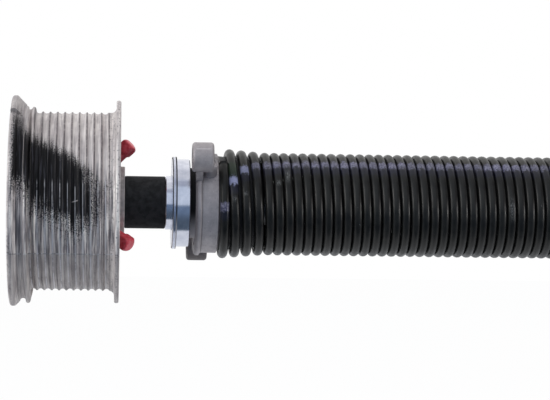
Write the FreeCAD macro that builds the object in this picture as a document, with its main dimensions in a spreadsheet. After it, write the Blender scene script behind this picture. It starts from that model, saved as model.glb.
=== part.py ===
import FreeCAD, Part
import math
import os
import re
import Sketcher

V = FreeCAD.Vector
doc = FreeCAD.newDocument("ramp_door_spring")
sheet = doc.addObject("Spreadsheet::Sheet", "dims")

# Driving sizes in millimetres, degrees or counts. X runs along the shaft, Z is up and the
# stationary cone's lugs bolt down on the plane X = 0.
SIZES = {
    "bore_play": 0.05,
    "edge_break": 0.5,
    "overlap": 2.0,
    "run_out": 5.0,
    "shaft_d": 25.4,
    "shaft_left": -102.2,
    "shaft_stub": 60.0,
    "shaft_journal_d": 25.0,
    "shaft_journal_w": 55.0,
    "shaft_chamfer": 1.0,
    "drum_left": -104.4,
    "drum_right": -41.0,
    "drum_barrel_r": 52.7,
    "drum_rim_h": 9.3,
    "drum_rim_w": 2.9,
    "drum_rim_round": 1.3,
    "drum_slope_w": 8.8,
    "drum_flange_h": 7.2,
    "drum_flange_w": 2.7,
    "drum_flange_round": 1.0,
    "drum_flange_root": 3.0,
    "drum_wall": 6.5,
    "drum_recess_depth": 13.5,
    "drum_web_w": 6.0,
    "drum_hub_r": 21.0,
    "drum_hub_right": -38.3,
    "drum_hub_left": -103.2,
    "drum_ribs": 6,
    "drum_rib_w": 4.5,
    "drum_rib_right": -60.0,
    "drum_rib_angle": 14.0,
    "groove_pitch": 4.28,
    "groove_gap": 0.12,
    "groove_depth": 1.05,
    "groove_first": -88.9,
    "groove_turns": 10,
    "climb_shift_top": 5.7,
    "climb_shift_low": 8.0,
    "climb_shift_notch": 9.6,
    "climb_rise_top": 1.5,
    "climb_rise_low": 5.1,
    "climb_rise_notch": 6.1,
    "climb_cut": 0.4,
    "climb_floor_w": 4.4,
    "climb_floor_depth": 6.0,
    "ridge_shift_top": 3.2,
    "ridge_shift_low": 5.1,
    "ridge_shift_notch": 6.1,
    "ridge_rise_top": 2.7,
    "ridge_rise_low": 7.6,
    "ridge_rise_notch": 7.8,
    "ridge_half": 1.0,
    "ridge_round": 0.8,
    "ridge_left_ratio": 0.29,
    "ridge_right_ratio": 0.225,
    "ridge_depth": 8.0,
    "ridge_end_depth": 4.0,
    "ridge_angle": 65.0,
    "notch_angle": 57.0,
    "notch_w": 5.0,
    "notch_drop": 4.0,
    "screw_d": 7.9,
    "screw_flats": 8.0,
    "screw_head_h": 7.0,
    "screw_dome": 1.4,
    "screw_tip_d": 4.2,
    "screw_gap": 0.1,
    "drum_screw_tilt_angle": 45.0,
    "drum_screw_x": -37.3,
    "drum_screw_r": 33.2,
    "drum_screw_upper_angle": 74.0,
    "drum_screw_lower_angle": -44.5,
    "drum_screw_upper_roll_angle": -29.0,
    "drum_screw_lower_roll_angle": 25.0,
    "drum_boss_r": 6.5,
    "drum_boss_end_r": 25.0,
    "sleeve_d": 31.0,
    "sleeve_bore_d": 26.0,
    "race_left": -14.3,
    "race_neck_r": 15.95,
    "race_shoulder_r": 18.0,
    "race_right": 4.0,
    "cover_left": -10.4,
    "cover_w": 1.3,
    "cover_r": 27.3,
    "cover_bore_r": 16.5,
    "cup_flange_w": 1.3,
    "cup_r": 26.0,
    "cup_right": -0.1,
    "cup_neck_r": 20.8,
    "cup_neck_w": 3.4,
    "cup_spigot_r": 24.7,
    "cup_spigot_right": 8.5,
    "cup_shoulder_r": 22.9,
    "cup_rear_bore_r": 19.0,
    "cup_rear_x": -1.0,
    "race_gap": 0.6,
    "ball_d": 7.14,
    "ball_count": 16,
    "ball_circle_r": 20.5,
    "ball_x": -5.2,
    "ball_play": 0.3,
    "lug_w": 12.5,
    "lug_angle": 38.0,
    "lug_boss_r": 8.6,
    "lug_round": 1.8,
    "lug_web_half": 7.0,
    "lug_root_x": 11.0,
    "lug_root_r": 4.2,
    "lug_root_end_r": 36.0,
    "bolt_circle_d": 87.3,
    "bolt_hole_d": 10.4,
    "cone_ring_left": 2.9,
    "cone_ring_right": 6.6,
    "cone_ring_r": 31.0,
    "cone_ring_chamfer": 0.9,
    "cone_collar_r": 29.5,
    "cone_collar_end": 16.0,
    "cone_nose_w": 27.0,
    "cone_nose_taper": 2.6,
    "cone_seat_depth": 7.0,
    "cone_mouth_gap": 0.7,
    "cone_bore_r": 14.5,
    "seat_play": 0.3,
    "seat_lead_angle": 8.0,
    "crest_drop": 2.0,
    "wire_d": 5.6,
    "coil_main_r": 27.8,
    "coil_end_r": 30.15,
    "coil_pitch": 5.71,
    "coil_end_pitch": 7.0,
    "coil_first_rise": 1.2,
    "coil_turns": 40,
    "coil_end_turns": 4,
    "coil_end_angle": 40.0,
    "winder_collar_w": 9.0,
    "winder_collar_taper": 2.0,
    "winder_head_w": 30.0,
    "winder_head_r": 24.5,
    "winder_head_chamfer": 1.5,
    "winder_boss_r": 11.5,
    "winder_boss_top": 38.0,
    "winder_socket_d": 13.6,
    "winder_socket_floor": 17.5,
    "winder_screw_stand": 3.0,
    "winder_screw_angle": 45.0,
    "winder_screw_roll_angle": 20.0,
}

for row, (alias, size) in enumerate(SIZES.items(), start=1):
    sheet.set("A%d" % row, alias)
    sheet.set("B%d" % row, str(size))
    sheet.setAlias("B%d" % row, alias)
doc.recompute()


def bound(formula):
    """The formula with every driving size named as a cell of the sheet."""
    def cell(word):
        return "dims." + word.group() if word.group() in SIZES else word.group()
    return re.sub(r"[a-z]\w*", cell, formula)


def value(formula):
    found = sheet.evalExpression(formula)
    return float(getattr(found, "Value", found))


def origin(body, role):
    return next(f for f in body.Origin.OriginFeatures if f.Role == role)


def new_body(label):
    body = doc.addObject("PartDesign::Body", label)
    body.Label = label
    return body


def sketch_on(body, name, role):
    sketch = body.newObject("Sketcher::SketchObject", name)
    sketch.AttachmentSupport = (origin(body, role), [""])
    sketch.MapMode = "FlatFace"
    return sketch


def pin_point(sketch, geo, pos, across, up):
    """Fixes a point at the place that two formulas give; "0" puts it on the axis."""
    for kind, formula, axis in (("DistanceX", across, -2), ("DistanceY", up, -1)):
        if formula == "0":
            sketch.addConstraint(Sketcher.Constraint("PointOnObject", geo, pos, axis))
        else:
            at = sketch.addConstraint(Sketcher.Constraint(kind, -1, 1, geo, pos, value(formula)))
            sketch.setExpression("Constraints[%d]" % at, bound(formula))


def draw_outline(sketch, corners):
    first = sketch.GeometryCount
    count = len(corners)
    spots = [V(value(across), value(up), 0) for across, up in corners]
    for i in range(count):
        sketch.addGeometry(Part.LineSegment(spots[i], spots[(i + 1) % count]), False)
    for i in range(count):
        after = first + (i + 1) % count
        sketch.addConstraint(Sketcher.Constraint("Coincident", first + i, 2, after, 1))
    for i, (across, up) in enumerate(corners):
        pin_point(sketch, first + i, 1, across, up)


def draw_circle(sketch, across, up, radius):
    middle = V(value(across), value(up), 0)
    geo = sketch.addGeometry(Part.Circle(middle, V(0, 0, 1), value(radius)), False)
    at = sketch.addConstraint(Sketcher.Constraint("Radius", geo, value(radius)))
    sketch.setExpression("Constraints[%d]" % at, bound(radius))
    pin_point(sketch, geo, 3, across, up)


def turn(body, name, corners, axis="X_Axis"):
    """A solid turned about the body's own axis from a closed outline."""
    sketch = sketch_on(body, name + "_outline", "XZ_Plane")
    draw_outline(sketch, corners)
    doc.recompute()
    feature = body.newObject("PartDesign::Revolution", name)
    feature.Profile = (sketch, [""])
    feature.ReferenceAxis = (origin(body, axis), [""])
    feature.Angle = 360
    doc.recompute()
    return feature


def pad(body, name, role, corners, length, midplane=False):
    sketch = sketch_on(body, name + "_outline", role)
    draw_outline(sketch, corners)
    doc.recompute()
    feature = body.newObject("PartDesign::Pad", name)
    feature.Profile = (sketch, [""])
    feature.setExpression("Length", bound(length))
    feature.Midplane = midplane
    doc.recompute()
    return feature


def rings(shape, spots):
    """Names of the round edges that lie at the given pairs of X and radius."""
    names = []
    for i, edge in enumerate(shape.Edges, start=1):
        if edge.Curve.TypeId == "Part::GeomCircle":
            middle = edge.Curve.Center
            for x, r in spots:
                near = abs(middle.x - x) < 0.01 and abs(edge.Curve.Radius - r) < 0.01
                if near and math.hypot(middle.y, middle.z) < 0.01:
                    names.append("Edge%d" % i)
    return names


def round_off(body, name, base, edges, radius):
    fillet = body.newObject("PartDesign::Fillet", name)
    fillet.Base = (base, edges)
    fillet.setExpression("Radius", bound(radius))
    doc.recompute()
    return fillet


def soften(body, name, base, spots, radius):
    places = [(value(x), value(r)) for x, r in spots]
    return round_off(body, name, base, rings(base.Shape, places), radius)


def cylinder(label, radius, height, start, along):
    rod = doc.addObject("Part::Cylinder", label)
    rod.setExpression("Radius", bound(radius))
    rod.Height = height
    rod.Placement = FreeCAD.Placement(start, FreeCAD.Rotation(V(0, 0, 1), along))
    return rod


def joined(label, shapes):
    fuse = doc.addObject("Part::MultiFuse", label)
    fuse.Shapes = shapes
    fuse.Refine = False
    return fuse


def group(label, members):
    compound = doc.addObject("Part::Compound", label)
    compound.Links = members
    return compound


cuts = []


def cut(label, base, tool):
    piece = doc.addObject("Part::Cut", label)
    piece.Base = base
    piece.Tool = tool
    piece.Refine = False
    cuts.append((piece, base))
    return piece


def radial(angle):
    """Unit vector away from the shaft; 0 degrees faces the viewer and 90 degrees is up."""
    return V(0, -math.cos(math.radians(angle)), math.sin(math.radians(angle)))


class HalfTurn:
    """Half a coil between a point above and a point below the shaft, by the front going down."""

    def __init__(self, a, b):
        self.middle = (a + b) * 0.5
        self.reach = (b - a).Length / 2
        self.out = (a - self.middle) * (1 / self.reach)
        self.side = V(0, -1 if a.z > b.z else 1, 0)
        self.axis = self.out.cross(self.side)

    def away(self, angle):
        t = math.radians(angle)
        return self.out * math.cos(t) + self.side * math.sin(t)

    def at(self, angle):
        return self.middle + self.away(angle) * self.reach

    def arc(self, start, stop):
        return Part.Arc(self.at(start), self.at((start + stop) / 2), self.at(stop)).toShape()


def half_turns(spots):
    """The half coils through spots of X and radius; a spot's third value says if it is above."""
    points = [V(x, 0, r if above else -r) for x, r, above in spots]
    return [HalfTurn(a, b) for a, b in zip(points, points[1:])]


def coil_path(spots, start=0.0, stop=180.0):
    halves = half_turns(spots)
    edges = []
    for i, half in enumerate(halves):
        first_angle = start if i == 0 else 0.0
        last_angle = stop if i == len(halves) - 1 else 180.0
        edges.append(half.arc(first_angle, last_angle))
    return edges


def wire_along(label, edges, radius):
    """A round bar swept along the joined edges."""
    spine = doc.addObject("Part::Feature", label + "_path")
    spine.Shape = Part.Wire(edges)
    ring = doc.addObject("Part::Circle", label + "_section")
    ring.setExpression("Radius", bound(radius))
    first = edges[0]
    aim = FreeCAD.Rotation(V(0, 0, 1), first.tangentAt(first.FirstParameter))
    ring.Placement = FreeCAD.Placement(first.valueAt(first.FirstParameter), aim)
    sweep = doc.addObject("Part::Sweep", label)
    sweep.Sections = [ring]
    sweep.Spine = (spine, [])
    sweep.Solid = True
    sweep.Frenet = False
    doc.recompute()
    return sweep


def bar_along(label, half, start, corners, crest=None):
    """A bar turned along half a coil; its section is rounded over the crest, if there is one."""
    across = half.axis * math.copysign(1, half.axis.x)

    def place(spot):
        return half.at(start) + across * spot[0] + half.away(start) * spot[1]

    spots = [place(corner) for corner in corners]
    edges = [Part.makeLine(a, b) for a, b in zip(spots, spots[1:])]
    if crest:
        edges.append(Part.Arc(spots[-1], place(crest), spots[0]).toShape())
    else:
        edges.append(Part.makeLine(spots[-1], spots[0]))
    section = doc.addObject("Part::Feature", label + "_section")
    section.Shape = Part.Face(Part.Wire(edges))
    bar = doc.addObject("Part::Revolution", label)
    bar.Source = section
    bar.Base = half.middle
    bar.Axis = half.axis
    bar.Angle = 180 - start
    bar.Solid = True
    doc.recompute()
    return bar


# Spring: end coils ride up on the cones, with a wider pitch than the close-wound middle.
end_halves = int(round(value("2 * coil_end_turns")))
main_halves = int(round(value("2 * coil_turns")))
half_count = 2 * end_halves + main_halves


def coil_radius(k):
    from_end = min(k, half_count - k)
    share = max(0.0, 1 - from_end / end_halves)
    return value("coil_main_r") + share * value("coil_end_r - coil_main_r")


def coil_step(k):
    if k == 0 or k == half_count - 1:
        return value("coil_first_rise")
    if k < end_halves or k >= half_count - end_halves:
        return value("coil_end_pitch / 2")
    return value("coil_pitch / 2")


coil_spots = []
reached = value("cone_collar_end + wire_d / 2")
for k in range(half_count + 1):
    coil_spots.append((reached, coil_radius(k), k % 2 == 0))
    reached += coil_step(k) if k < half_count else 0

end_angle = value("coil_end_angle")
spring_path = coil_path(coil_spots, end_angle, 180 - end_angle)
torsion_spring = wire_along("torsion_spring", spring_path, "wire_d / 2")

# Seats for the end coils, a little wider than the wire and a little longer at its tips.
seat_r = "wire_d / 2 + seat_play"
seat_start = value("coil_end_angle - seat_lead_angle")
fixed_path = coil_path(coil_spots[: end_halves + 2], seat_start)
fixed_seat = wire_along("fixed_seat", fixed_path, seat_r)
winder_path = coil_path(coil_spots[-(end_halves + 2):], 0.0, 180 - seat_start)
winder_seat = wire_along("winder_seat", winder_path, seat_r)

# Stationary cone: the turned cone and its two lugs, then the bores, bolt holes and seat.
cone_turned = new_body("cone_turned")
crest = "coil_end_r - crest_drop"
nose_crest = "coil_main_r - crest_drop"
nose_end = "cone_collar_end + cone_nose_w"
turn(cone_turned, "cone_outer", [
    ("cone_ring_left", "0"),
    ("cone_ring_left", "cone_ring_r - cone_ring_chamfer"),
    ("cone_ring_left + cone_ring_chamfer", "cone_ring_r"),
    ("cone_ring_right - cone_ring_chamfer", "cone_ring_r"),
    ("cone_ring_right", "cone_collar_r"),
    ("cone_collar_end", "cone_collar_r"),
    ("cone_collar_end + edge_break", crest),
    (nose_end + " - cone_nose_taper", nose_crest),
    (nose_end, nose_crest + " - cone_nose_taper"),
    (nose_end, "0"),
])

# The lugs: bolt bosses on a web as thick as the ring, each with a rounded root on the collar.
lug_web = new_body("lug_web")
along_y = "cos(lug_angle * 1 deg)"
along_z = "sin(lug_angle * 1 deg)"
web_corners = []
for end, side in ((1, 1), (1, -1), (-1, -1), (-1, 1)):
    web_corners.append((
        "%d * bolt_circle_d / 2 * %s + %d * lug_web_half * %s" % (-end, along_y, side, along_z),
        "%d * bolt_circle_d / 2 * %s + %d * lug_web_half * %s" % (end, along_z, side, along_y),
    ))
pad(lug_web, "lug_web_pad", "YZ_Plane", web_corners, "cone_ring_right - cone_ring_left")
lug_web.Placement = FreeCAD.Placement(V(value("cone_ring_left"), 0, 0), FreeCAD.Rotation())


def bolt_boss(label, spot):
    boss = new_body(label)
    barrel = turn(boss, label + "_turned", [
        ("0", "0"),
        ("0", "lug_boss_r"),
        ("lug_w", "lug_boss_r"),
        ("lug_w", "0"),
    ])
    rims = [("0", "lug_boss_r"), ("lug_w", "lug_boss_r")]
    soften(boss, label + "_round", barrel, rims, "lug_round")
    boss.Placement = FreeCAD.Placement(spot, FreeCAD.Rotation())
    return boss


def lug_root(label, away):
    """A round-ended stub that stands on the collar and runs into the bolt boss."""
    middle = V(value("lug_root_x"), 0, 0)
    start = middle + away * value("cone_collar_r - overlap")
    reach = value("lug_root_end_r - cone_collar_r + overlap")
    tip = doc.addObject("Part::Sphere", label + "_tip")
    tip.setExpression("Radius", bound("lug_root_r"))
    tip.Placement = FreeCAD.Placement(middle + away * value("lug_root_end_r"), FreeCAD.Rotation())
    return [cylinder(label, "lug_root_r", reach, start, away), tip]


lugs = [lug_web]
bolt_holes = []
for name, angle in (("near", "lug_angle"), ("far", "lug_angle + 180")):
    away = radial(value(angle))
    spot = away * value("bolt_circle_d / 2")
    lugs.append(bolt_boss("bolt_boss_" + name, spot))
    lugs.extend(lug_root("lug_root_" + name, away))
    hole_start = spot - V(value("run_out"), 0, 0)
    through = value("lug_w + 2 * run_out")
    hole = cylinder("bolt_hole_" + name, "bolt_hole_d / 2", through, hole_start, V(1, 0, 0))
    bolt_holes.append(hole)
bore_body = new_body("cone_bores")
turn(bore_body, "cone_bores_turned", [
    ("-run_out", "0"),
    ("-run_out", "cup_r + cone_mouth_gap"),
    ("cone_ring_left", "cup_r + cone_mouth_gap"),
    ("cone_ring_left", "cup_spigot_r + bore_play"),
    ("cone_ring_left + cone_seat_depth", "cup_spigot_r + bore_play"),
    ("cone_ring_left + cone_seat_depth", "cone_bore_r"),
    (nose_end + " + run_out", "cone_bore_r"),
    (nose_end + " + run_out", "0"),
])
cone_solid = joined("cone_solid", [cone_turned] + lugs)
cone_bored = cut("cone_bored", cone_solid, bore_body)
cone_drilled = cut("cone_drilled", cone_bored, joined("bolt_holes", bolt_holes))
stationary_cone = cut("stationary_cone", cone_drilled, fixed_seat)

# Cable drum: turned blank with ribs.
drum_blank = new_body("drum_blank")
rim_x = "drum_left + drum_rim_w"
rim_r = "drum_barrel_r + drum_rim_h"
flange_x = "drum_right - drum_flange_w"
flange_r = "drum_barrel_r + drum_flange_h"
inner_r = "drum_barrel_r - drum_wall"
web_left = "drum_left + drum_recess_depth"
web_right = web_left + " + drum_web_w"
bore = "shaft_d / 2 + bore_play"
turn(drum_blank, "drum_turned", [
    ("drum_hub_left", bore),
    ("drum_hub_left", "drum_hub_r"),
    (web_left, "drum_hub_r"),
    (web_left, inner_r),
    ("drum_left", inner_r),
    ("drum_left", rim_r),
    (rim_x, rim_r),
    (rim_x + " + drum_slope_w", "drum_barrel_r"),
    (flange_x, "drum_barrel_r"),
    (flange_x, flange_r),
    ("drum_right", flange_r),
    ("drum_right", inner_r),
    (web_right, inner_r),
    (web_right, "drum_hub_r"),
    ("drum_hub_right", "drum_hub_r"),
    ("drum_hub_right", bore),
])
rib = pad(drum_blank, "rib", "XZ_Plane", [
    (web_right + " - overlap", "drum_hub_r - overlap"),
    (web_right + " - overlap", inner_r + " + overlap"),
    ("drum_rib_right", inner_r + " + overlap"),
    ("drum_rib_right", "drum_hub_r - overlap"),
], "drum_rib_w", midplane=True)
ribs = drum_blank.newObject("PartDesign::PolarPattern", "ribs")
ribs.Originals = [rib]
ribs.Axis = (origin(drum_blank, "X_Axis"), [""])
ribs.Angle = 360
ribs.setExpression("Occurrences", bound("drum_ribs"))
drum_blank.Tip = ribs
doc.recompute()
rim_edges = [("drum_left", rim_r), (rim_x, rim_r)]
flange_edges = [(flange_x, flange_r), ("drum_right", flange_r)]
drum_rounds = soften(drum_blank, "rim_round", ribs, rim_edges, "drum_rim_round")
drum_rounds = soften(drum_blank, "flange_round", drum_rounds, flange_edges, "drum_flange_round")
root_edge = [(flange_x, "drum_barrel_r")]
drum_rounds = soften(drum_blank, "flange_root", drum_rounds, root_edge, "drum_flange_root")
hub_edge = [("drum_hub_right", "drum_hub_r")]
soften(drum_blank, "hub_round", drum_rounds, hub_edge, "edge_break")
rib_turn = FreeCAD.Rotation(V(1, 0, 0), -value("drum_rib_angle"))
drum_blank.Placement = FreeCAD.Placement(V(0, 0, 0), rib_turn)

# The cable groove's last turns go left and climb the big flange to the cable notch, with a
# raised floor under the cable and a ridge on its right.
first_x = value("groove_first")
barrel_r = value("drum_barrel_r")
floor_r = value("drum_barrel_r - groove_depth")
half_pitch = value("groove_pitch / 2")
groove_r = "(groove_pitch - groove_gap) / 2"
climb_names = (("notch", True), ("low", False), ("top", True))
floor_spots = []
ridge_spots = []
for name, above in climb_names:
    floor_x = first_x - value("climb_shift_" + name)
    floor_spots.append((floor_x, barrel_r + value("climb_rise_" + name), above))
    ridge_x = first_x - value("ridge_shift_" + name)
    ridge_spots.append((ridge_x, barrel_r + value("ridge_rise_" + name), above))
ridge_spots.append((first_x, barrel_r - value("bore_play"), False))

ridge_start = 90 - value("ridge_angle")
starts = (ridge_start, 0.0, 0.0)
depths = (value("ridge_depth"), value("ridge_depth"), value("ridge_end_depth"))
ridge_half = value("ridge_half")
ridge_round = value("ridge_round")
drum_bars = []
for i, (half, start, depth) in enumerate(zip(half_turns(ridge_spots), starts, depths), start=1):
    left = ridge_half + value("ridge_left_ratio") * (depth - ridge_round)
    right = ridge_half + value("ridge_right_ratio") * (depth - ridge_round)
    corners = [
        (-ridge_half, -ridge_round),
        (-left, -depth),
        (right, -depth),
        (ridge_half, -ridge_round),
    ]
    drum_bars.append(bar_along("ridge_%d" % i, half, start, corners, crest=(0, 0)))
floor_half = value("climb_floor_w / 2")
floor_depth = value("climb_floor_depth")
floor_corners = [
    (-floor_half, 0),
    (-floor_half, -floor_depth),
    (floor_half, -floor_depth),
    (floor_half, 0),
]
for i, (half, start) in enumerate(zip(half_turns(floor_spots), starts), start=1):
    drum_bars.append(bar_along("climb_floor_%d" % i, half, start, floor_corners))

lift = value(groove_r) - value("climb_cut")
groove_spots = [(x, r + lift, above) for x, r, above in floor_spots]
for k in range(-1, int(round(value("2 * groove_turns"))) + 1):
    groove_spots.append((first_x + k * half_pitch, floor_r + value(groove_r), k % 2 == 0))
groove_path = coil_path(groove_spots, 90 - value("notch_angle"), 90.0)
cable_groove = wire_along("cable_groove", groove_path, groove_r)

notch = doc.addObject("Part::Box", "notch")
notch.setExpression("Length", bound("run_out + groove_first - climb_shift_notch - drum_left"))
notch.setExpression("Width", bound("notch_w"))
notch.setExpression("Height", bound("notch_drop + run_out"))
away = radial(value("notch_angle"))
sideways = away.cross(V(1, 0, 0))
notch_floor = away * (value(rim_r) - value("notch_drop"))
corner = V(value("drum_left - run_out"), 0, 0) + notch_floor - sideways * value("notch_w / 2")
notch.Placement = FreeCAD.Placement(corner, FreeCAD.Rotation(V(1, 0, 0), sideways, away, "XZY"))

# Bosses and holes for the set screws on the drum's hub.
tilt = math.radians(value("drum_screw_tilt_angle"))
screw_names = ("upper", "lower")


def screw_line(name, r):
    """The point at radius r on a drum screw's axis, and the way the screw's head faces."""
    away = radial(value("drum_screw_%s_angle" % name))
    x = value("drum_screw_x") - (value("drum_screw_r") - r) * math.tan(tilt)
    return V(x, 0, 0) + away * r, V(math.sin(tilt), 0, 0) + away * math.cos(tilt)


bosses = []
screw_holes = []
for name in screw_names:
    start, out = screw_line(name, value("drum_hub_r - overlap"))
    reach = value("drum_boss_end_r - drum_hub_r + overlap") / math.cos(tilt)
    bosses.append(cylinder("boss_" + name, "drum_boss_r", reach, start, out))
    inner, out = screw_line(name, value(bore) - value("overlap"))
    through = value("drum_screw_r + run_out - (" + bore + ")") / math.cos(tilt)
    hole = cylinder("screw_hole_" + name, "screw_d / 2 + bore_play", through, inner, out)
    screw_holes.append(hole)

drum_solid = joined("drum_solid", [drum_blank] + drum_bars + bosses)
doc.recompute()
# The groove's cutter is applied to the shape itself: the linked cut leaves the long coil out.
drum_grooved = doc.addObject("Part::Feature", "drum_grooved")
drum_grooved.Shape = drum_solid.Shape.cut(cable_groove.Shape)
cuts.append((drum_grooved, drum_solid))
drum_notched = cut("drum_notched", drum_grooved, notch)
cable_drum = cut("cable_drum", drum_notched, joined("drum_screw_holes", screw_holes))


def set_screw(label, under_head, out, length, roll):
    """Square-head set screw with a domed head, standing on the point under its head."""
    body = new_body(label)
    half = "screw_d / 2"
    corner_r = "screw_flats / 2 * sqrt(2) - edge_break"
    turn(body, label + "_turned", [
        ("0", "-%f" % length),
        ("screw_tip_d / 2", "-%f" % length),
        (half, "screw_d / 2 - screw_tip_d / 2 - %f" % length),
        (half, "0"),
        (corner_r + " - edge_break", "0"),
        (corner_r, "edge_break"),
        (corner_r, "screw_head_h - screw_dome"),
        ("screw_flats / 2 - edge_break", "screw_head_h"),
        ("0", "screw_head_h"),
    ], axis="Z_Axis")
    flats = sketch_on(body, label + "_flats_outline", "XY_Plane")
    edge = "screw_flats / 2"
    square = ((1, 1), (-1, 1), (-1, -1), (1, -1))
    draw_outline(flats, [("%d * %s" % (x, edge), "%d * %s" % (y, edge)) for x, y in square])
    draw_circle(flats, "0", "0", "screw_flats * 1.5")
    doc.recompute()
    pocket = body.newObject("PartDesign::Pocket", label + "_flats")
    pocket.Profile = (flats, [""])
    pocket.setExpression("Length", bound("screw_head_h + edge_break"))
    pocket.Reversed = True
    doc.recompute()
    facing = FreeCAD.Rotation(out, roll).multVec(V(0, -1, 0))
    aim = FreeCAD.Rotation(facing, V(0, 0, 0), out, "ZXY")
    body.Placement = FreeCAD.Placement(under_head, aim)
    return body


tip_r = value("shaft_d / 2 + screw_gap") + value("screw_tip_d / 2") * math.sin(tilt)
head_half = value("screw_head_h / 2")
drum_screws = []
for name in screw_names:
    head, out = screw_line(name, value("drum_screw_r"))
    under = head - out * head_half
    length = (value("drum_screw_r") - tip_r) / math.cos(tilt) - head_half
    roll = value("drum_screw_%s_roll_angle" % name)
    drum_screws.append(set_screw("drum_screw_" + name, under, out, length, roll))
drum_set_screws = group("drum_set_screws", drum_screws)

# Shaft and sleeve.
spring_end = (
    "cone_collar_end + wire_d + 2 * coil_first_rise"
    " + (round(2 * coil_end_turns) - 1) * coil_end_pitch + round(2 * coil_turns) * coil_pitch / 2"
)
winder_right = spring_end + " + winder_collar_w + winder_head_w"
shaft_right = winder_right + " + shaft_stub"
journal_left = shaft_right + " - shaft_journal_w - shaft_chamfer"
shaft_body = new_body("shaft")
turn(shaft_body, "shaft_turned", [
    ("shaft_left", "0"),
    ("shaft_left", "shaft_d / 2 - shaft_chamfer"),
    ("shaft_left + shaft_chamfer", "shaft_d / 2"),
    (journal_left, "shaft_d / 2"),
    (journal_left, "shaft_journal_d / 2"),
    (shaft_right + " - shaft_chamfer", "shaft_journal_d / 2"),
    (shaft_right, "shaft_journal_d / 2 - shaft_chamfer"),
    (shaft_right, "0"),
])
sleeve_body = new_body("spacer_sleeve")
turn(sleeve_body, "sleeve_turned", [
    ("drum_hub_right", "sleeve_bore_d / 2"),
    ("drum_hub_right", "sleeve_d / 2 - edge_break"),
    ("drum_hub_right + edge_break", "sleeve_d / 2"),
    ("race_left - edge_break", "sleeve_d / 2"),
    ("race_left", "sleeve_d / 2 - edge_break"),
    ("race_left", "sleeve_bore_d / 2"),
])

# Bearing.
cup_left = "cover_left + cover_w"
inner_race = new_body("inner_race_blank")
turn(inner_race, "race_turned", [
    ("race_left", bore),
    ("race_left", "race_neck_r - edge_break"),
    ("race_left + edge_break", "race_neck_r"),
    (cup_left + " + race_gap", "race_neck_r"),
    (cup_left + " + race_gap", "race_shoulder_r"),
    ("race_right", "race_shoulder_r"),
    ("race_right", bore),
])
outer_cup = new_body("outer_cup_blank")
cup_shelf = "cup_right + cup_neck_w"
turn(outer_cup, "cup_turned", [
    (cup_left, "cup_shoulder_r"),
    (cup_left, "cover_r"),
    (cup_left + " + cup_flange_w", "cover_r"),
    (cup_left + " + cup_flange_w", "cup_r"),
    ("cup_right - edge_break", "cup_r"),
    ("cup_right", "cup_r - edge_break"),
    ("cup_right", "cup_neck_r"),
    (cup_shelf, "cup_neck_r"),
    (cup_shelf, "cup_spigot_r"),
    ("cup_spigot_right", "cup_spigot_r"),
    ("cup_spigot_right", "cup_rear_bore_r"),
    ("cup_rear_x", "cup_rear_bore_r"),
    ("cup_rear_x", "cup_shoulder_r"),
])


def ball_groove(label, base):
    """Runs the balls' path into a ring of the bearing."""
    path = doc.addObject("Part::Torus", label + "_path")
    path.setExpression("Radius1", bound("ball_circle_r"))
    path.setExpression("Radius2", bound("ball_d / 2 + ball_play"))
    along = FreeCAD.Rotation(V(0, 0, 1), V(1, 0, 0))
    path.Placement = FreeCAD.Placement(V(value("ball_x"), 0, 0), along)
    return cut(label, base, path)


race_node = ball_groove("bearing_inner_race", inner_race)
cup_node = ball_groove("bearing_outer_cup", outer_cup)
cover_body = new_body("bearing_cover")
turn(cover_body, "cover_turned", [
    ("cover_left", "cover_bore_r"),
    ("cover_left", "cover_r - edge_break"),
    ("cover_left + edge_break", "cover_r"),
    (cup_left + " - edge_break / 2", "cover_r"),
    (cup_left, "cover_r - edge_break / 2"),
    (cup_left, "cover_bore_r"),
])
balls = []
ball_count = int(round(value("ball_count")))
for i in range(ball_count):
    ball = doc.addObject("Part::Sphere", "ball_%d" % (i + 1))
    ball.setExpression("Radius", bound("ball_d / 2"))
    spot = V(value("ball_x"), 0, 0) + radial(360.0 * i / ball_count) * value("ball_circle_r")
    ball.Placement = FreeCAD.Placement(spot, FreeCAD.Rotation())
    balls.append(ball)
bearing_balls = group("bearing_balls", balls)

# Winding cone.
winder_blank = new_body("winder_blank")
nose_left = spring_end + " - cone_nose_w"
collar_right = spring_end + " + winder_collar_w"
turn(winder_blank, "winder_turned", [
    (nose_left, bore),
    (nose_left, nose_crest + " - cone_nose_taper"),
    (nose_left + " + cone_nose_taper", nose_crest),
    (spring_end + " - edge_break", crest),
    (spring_end, "cone_collar_r"),
    (collar_right + " - winder_collar_taper", "cone_collar_r"),
    (collar_right, "winder_head_r"),
    (winder_right + " - winder_head_chamfer", "winder_head_r"),
    (winder_right, "winder_head_r - winder_head_chamfer"),
    (winder_right, bore),
])
head_mid = V(value(winder_right + " - winder_head_w / 2"), 0, 0)
arms = []
winder_holes = []
for i in range(4):
    out = radial(90.0 * i)
    name = str(i + 1)
    floor = value("winder_socket_floor")
    arm_start = head_mid + out * (floor - value("overlap"))
    arm_reach = value("winder_boss_top - winder_socket_floor + overlap")
    arms.append(cylinder("arm_" + name, "winder_boss_r", arm_reach, arm_start, out))
    deep = value("winder_boss_top - winder_socket_floor + run_out")
    hole = cylinder("socket_" + name, "winder_socket_d / 2", deep, head_mid + out * floor, out)
    winder_holes.append(hole)
winder_screws = []
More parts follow.
